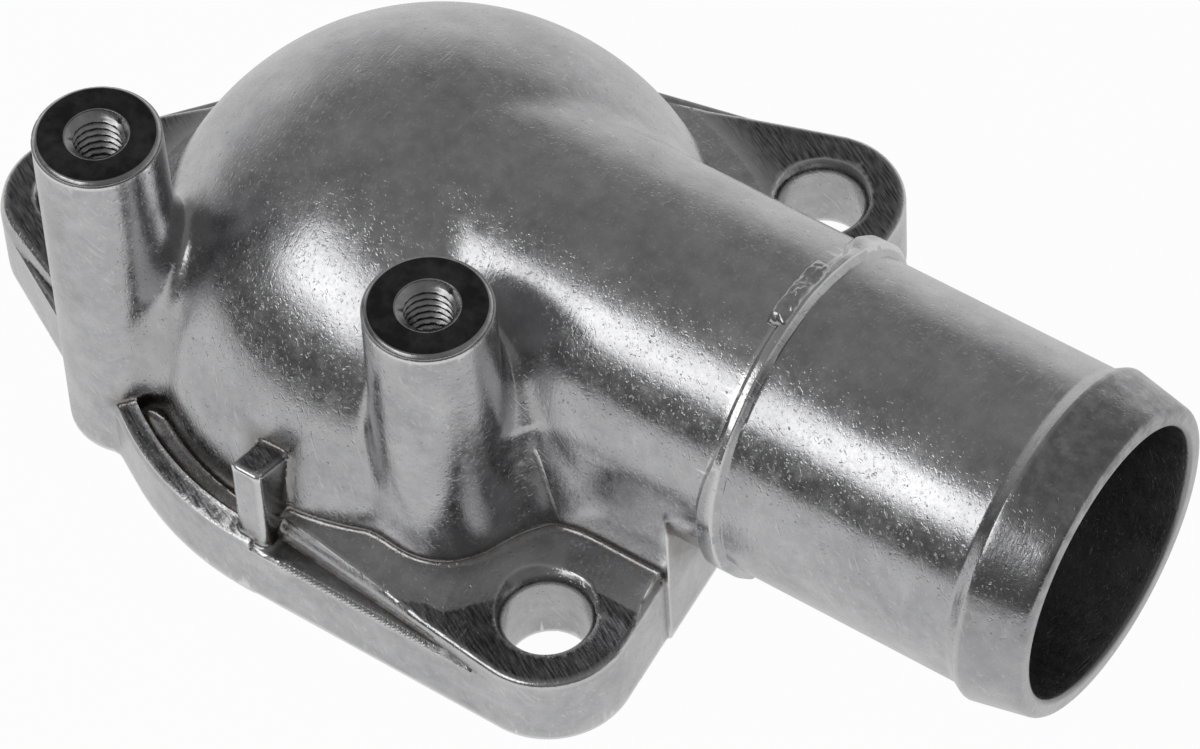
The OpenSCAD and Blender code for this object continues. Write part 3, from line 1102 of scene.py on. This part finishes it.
class HOUSING_OT_spigot(bpy.types.Operator):
    """Builds the turned hose spigot: stop ring with its gate, hose land, bead and nose"""

    bl_idname = "housing.spigot"
    bl_label = "Hose spigot"

    SEGMENTS = 288
    STEP = 0.8
    RIPPLES = ((0.06, 5.0, 1.0), (0.05, 13.0, 0.0), (0.03, 29.0, 0.0))

    def execute(self, context):
        sizes = context.scene.spigot_sizes
        radius = sizes.radius / MM
        start = sizes.ring_start / MM
        end = CAD_HIGH.x / MM
        bead = end - sizes.nose / MM
        ring = radius + sizes.ring_height / MM
        crest, half_crest, root = 1.1, 0.25, 0.2
        ring_end = start + sizes.ring_width / MM
        tip = radius + sizes.bead_height / MM - sizes.nose_taper / MM
        bore = mount_radius("outlet_bore")
        outline = np.array(
            [
                [bore, start],
                [radius - root, start],
                [ring, start + crest - half_crest],
                [ring, start + crest + half_crest],
                [radius, ring_end],
                [radius, bead - sizes.bead_ramp / MM],
                [radius + sizes.bead_height / MM, bead],
                [tip, end],
                [bore, end],
            ]
        )
        corner_radii = [0.0, 0.0, 0.2, 0.2, 0.5, 1.0, 0.45, sizes.lip / MM, sizes.bore_lip / MM]
        outline = divide(rounded(outline, corner_radii), self.STEP)
        reach, angle, along, faces = turned_mesh(outline[::-1], self.SEGMENTS)
        reach, along = self.cast_ring(reach, angle, along, radius, start, ring_end)
        skin = cast_skin(context.scene.finish_looks, bead * MM)
        piece = add_piece("hose_spigot", outlet_points(reach, angle, along), faces, [skin])
        # Painted highlight, partly wear: the crest of the stop ring and the ridge of the bead are
        # lightened towards the worn-edge colour.
        on_crest = (np.abs(along - start - crest) < 0.6) & (reach > ring - 0.3)
        on_bead = (np.abs(along - bead) < 0.5) & (reach > radius)
        store(piece, "edge_wear", 1.1 * on_crest + 0.7 * on_bead)
        shade(piece, sharp_degrees=38.0)
        piece = add_piece("gate_pad", *self.gate(sizes, radius, start), [skin])
        shade(piece, sharp_degrees=50.0)
        return {"FINISHED"}

    def cast_ring(self, reach, angle, along, radius, start, ring_end):
        """Makes the stop ring uneven: thin at the side, with flash at its rear and a tab below."""
        rear = window(angle, 38.0, 26.0)
        low = window(angle, 205.0, 62.0)
        tab = window(angle, 216.0, 20.0)
        middle = (start + ring_end) / 2.0
        on_ring = (along < ring_end + 0.01) & (reach > radius - 0.3)
        neck_side = on_ring & (along < middle)
        tab_start, tab_run, tab_reach = 0.4, 4.0, 0.9
        fading = np.clip((along - middle) / tab_start, 0.0, 1.0)
        fading = fading * np.clip((ring_end + tab_run - along) / tab_run, 0.0, 1.0)
        outside = reach > radius - 2.0
        ripple = sum(size * np.sin(waves * angle + phase) for size, waves, phase in self.RIPPLES)
        shift = -0.2 - 1.0 * low - 1.1 * rear + ripple
        along = along + neck_side * shift + outside * fading * tab_reach * tab
        reach = reach + on_ring * (0.35 * rear - 0.1 + ripple)
        return reach, along

    def gate(self, sizes, radius, start):
        """Rounded, broken-off gate on top of the ring, on the side of the neck."""
        middle, half = math.radians(88.0), math.radians(15.5)
        u, v = np.meshgrid(np.linspace(-1.0, 1.0, 61), np.linspace(-1.0, 1.0, 21), indexing="ij")
        blunt_u, blunt_v, fullness = 9, 5, 0.6
        form = (1.0 - np.abs(u) ** blunt_u) * (1.0 - np.abs(v) ** blunt_v)
        form = np.clip(form, 0.0, 1.0) ** fullness
        broken = np.random.default_rng(7).normal(size=u.shape)
        for _ in range(3):
            for axis in (0, 1):
                broken = (np.roll(broken, 1, axis) + 2.0 * broken + np.roll(broken, -1, axis)) / 4.0
        broken = broken / np.abs(broken).max()
        sunk, roughness, ahead = 0.6, 0.3, 0.1
        top = radius - sunk + form * (sunk + sizes.gate_height / MM + roughness * broken)
        under = np.full_like(top, radius - 2.0 * sunk)
        angle = middle + half * u
        along = start + ahead + v * sizes.gate_width / MM / 2.0
        sheets = [outlet_points(r.ravel(), angle.ravel(), along.ravel()) for r in (top, under)]
        return np.concatenate(sheets), block_faces(*u.shape)


class HOUSING_OT_bosses(bpy.types.Operator):
    """Builds the turned and tapped tops of both bosses"""

    bl_idname = "housing.bosses"
    bl_label = "Tapped bosses"

    def execute(self, context):
        scene = context.scene
        sleeve = ThreadSleeve(scene.casting_sizes, scene.thread_sizes)
        looks = scene.finish_looks
        metals = [
            # The level boss tops take the near-black turned colour, a painted dark reflection.
            turned_metal("turned_face", looks, looks.turned, looks.turned_stain),
            turned_metal("cut_metal", looks, looks.cut, looks.skin_light),
        ]
        for name in BOSS_MOUNTS:
            points, faces, cut = sleeve.mesh(mount_at(name))
            piece = add_piece(name.replace("thread", "top"), points, faces[:, ::-1], metals)
            piece.data.polygons.foreach_set("material_index", cut.astype(np.int32))
            shade(piece, sharp_degrees=30.0)
        return {"FINISHED"}


class HOUSING_OT_stage(bpy.types.Operator):
    """Sets the floor, the lights and the camera"""

    bl_idname = "housing.stage"
    bl_label = "Stage"

    FLOOR_REACH = 3.0
    FLOOR_DROP = 0.0002
    WHITE_SEEN = 0.97
    WHITE_MIRRORED = 0.64
    REAR_LEVELS = ((0.0, 0.70), (0.18, 0.52), (0.42, 0.26), (1.0, 0.22))
    FRONT_LEVELS = ((0.0, 0.08), (0.25, 0.11), (0.60, 0.22), (1.0, 0.22))
    FRONT_BLEND = 0.2

    def floor(self, settings):
        """Pale floor that reads white to the eye and in the metal, and takes the shadow."""
        signs = ((-1.0, -1.0), (1.0, -1.0), (1.0, 1.0), (-1.0, 1.0))
        corners = [(x * self.FLOOR_REACH, y * self.FLOOR_REACH, -self.FLOOR_DROP) for x, y in signs]
        mesh = bpy.data.meshes.new("floor")
        mesh.from_pydata(corners, [], [(0, 1, 2, 3)])
        sheet = NodeSheet("pale_floor", bpy.data.materials)
        sheet.put(sheet.shader.inputs["Base Color"], settings.floor_colour)
        sheet.shader.inputs["Roughness"].default_value = 1.0
        sheet.shader.inputs["Specular IOR Level"].default_value = 0.0
        glow = sheet.add("ShaderNodeEmission", {"Color": WHITE, "Strength": 1.0})
        rays = sheet.add("ShaderNodeLightPath").outputs
        seen = sheet.times(rays["Is Camera Ray"], self.WHITE_SEEN)
        share = sheet.plus(seen, sheet.times(rays["Is Glossy Ray"], self.WHITE_MIRRORED))
        inputs = {0: share, 1: sheet.shader.outputs[0], 2: glow.outputs[0]}
        both = sheet.add("ShaderNodeMixShader", inputs).outputs[0]
        sheet.put(sheet.nodes["Material Output"].inputs["Surface"], both)
        mesh.materials.append(sheet.owner)
        floor = bpy.data.objects.new("floor", mesh)
        bpy.context.scene.collection.objects.link(floor)

    def lamp(self, name, azimuth, elevation, distance, size, power):
        """A soft box that faces the object."""
        light = bpy.data.lights.new(name, "AREA")
        light.shape = "RECTANGLE"
        light.size, light.size_y = size
        light.energy = power
        box = bpy.data.objects.new(name, light)
        aim(box, math.radians(azimuth), math.radians(elevation), distance)

    def sky(self, scene):
        """Grey studio with a pale backdrop low at the rear and a dark front, white to the eye."""
        sheet = NodeSheet("studio", bpy.data.worlds)
        scene.world = sheet.owner
        place = sheet.add("ShaderNodeTexCoord").outputs["Generated"]
        axes = sheet.add("ShaderNodeSeparateXYZ", {0: place}).outputs
        rear = self.ramp(sheet, axes["Z"], self.REAR_LEVELS)
        front = self.ramp(sheet, axes["Z"], self.FRONT_LEVELS)
        depth = sheet.span(axes["Y"], -self.FRONT_BLEND, self.FRONT_BLEND)
        around = sheet.mix(depth, front, rear)
        seen = sheet.add("ShaderNodeLightPath").outputs["Is Camera Ray"]
        sheet.put(sheet.nodes["Background"].inputs["Color"], sheet.mix(seen, around, WHITE))

    def ramp(self, sheet, value, stops):
        """Grey levels at given places along a value."""
        node = sheet.add("ShaderNodeValToRGB", {0: value})
        elements = node.color_ramp.elements
        while len(elements) < len(stops):
            elements.new(0.5)
        for element, (place, level) in zip(elements, stops):
            element.position = place
            element.color = (level, level, level, 1.0)
        return node.outputs[0]

    def camera(self, settings):
        """Camera at the photograph's angle."""
        data = bpy.data.cameras.new("camera")
        data.sensor_width = 36.0
        data.lens = settings.focal
        data.clip_start = 0.05
        data.clip_end = 20.0
        camera = bpy.data.objects.new("camera", data)
        place = (settings.azimuth, settings.elevation, settings.distance)
        aim(camera, *place, settings.target, settings.roll)
        bpy.context.scene.camera = camera

    def execute(self, context):
        scene = context.scene
        scene.view_settings.view_transform = "Standard"
        self.floor(scene.stage_settings)
        self.sky(scene)
        self.lamp("key_box", azimuth=-22.0, elevation=43.0, distance=0.9, size=(0.75, 0.36), power=1.45)
        self.camera(scene.stage_settings)
        return {"FINISHED"}


class HOUSING_PT_panel(bpy.types.Panel):
    """Lists the operators and the sizes in the sidebar"""

    bl_label = "Housing"
    bl_idname = "HOUSING_PT_panel"
    bl_space_type = "VIEW_3D"
    bl_region_type = "UI"
    bl_category = "Housing"

    def draw(self, context):
        for operator in OPERATORS:
            self.layout.operator(operator.bl_idname)
        for name, group in GROUPS.items():
            box = self.layout.box()
            box.label(text=group.__doc__)
            for key in group.__annotations__:
                box.prop(getattr(context.scene, name), key)


GROUPS = {
    "casting_sizes": CastingSizes,
    "spigot_sizes": SpigotSizes,
    "thread_sizes": ThreadSizes,
    "finish_looks": FinishLooks,
    "stage_settings": StageSettings,
}
OPERATORS = (HOUSING_OT_stage, HOUSING_OT_casting, HOUSING_OT_spigot, HOUSING_OT_bosses)


def register():
    """Registers the classes and hangs the settings on the scene."""
    for group in GROUPS.values():
        bpy.utils.register_class(group)
    for name, group in GROUPS.items():
        setattr(bpy.types.Scene, name, bpy.props.PointerProperty(type=group))
    for cls in (*OPERATORS, HOUSING_PT_panel):
        bpy.utils.register_class(cls)


def unregister():
    """Takes everything off again."""
    for cls in reversed((*OPERATORS, HOUSING_PT_panel)):
        bpy.utils.unregister_class(cls)
    for name in GROUPS:
        delattr(bpy.types.Scene, name)
    for group in reversed(GROUPS.values()):
        bpy.utils.unregister_class(group)


def main():
    register()
    bpy.ops.housing.stage()
    bpy.ops.housing.casting()
    bpy.ops.housing.spigot()
    bpy.ops.housing.bosses()


if __name__ == "__main__":
    main()
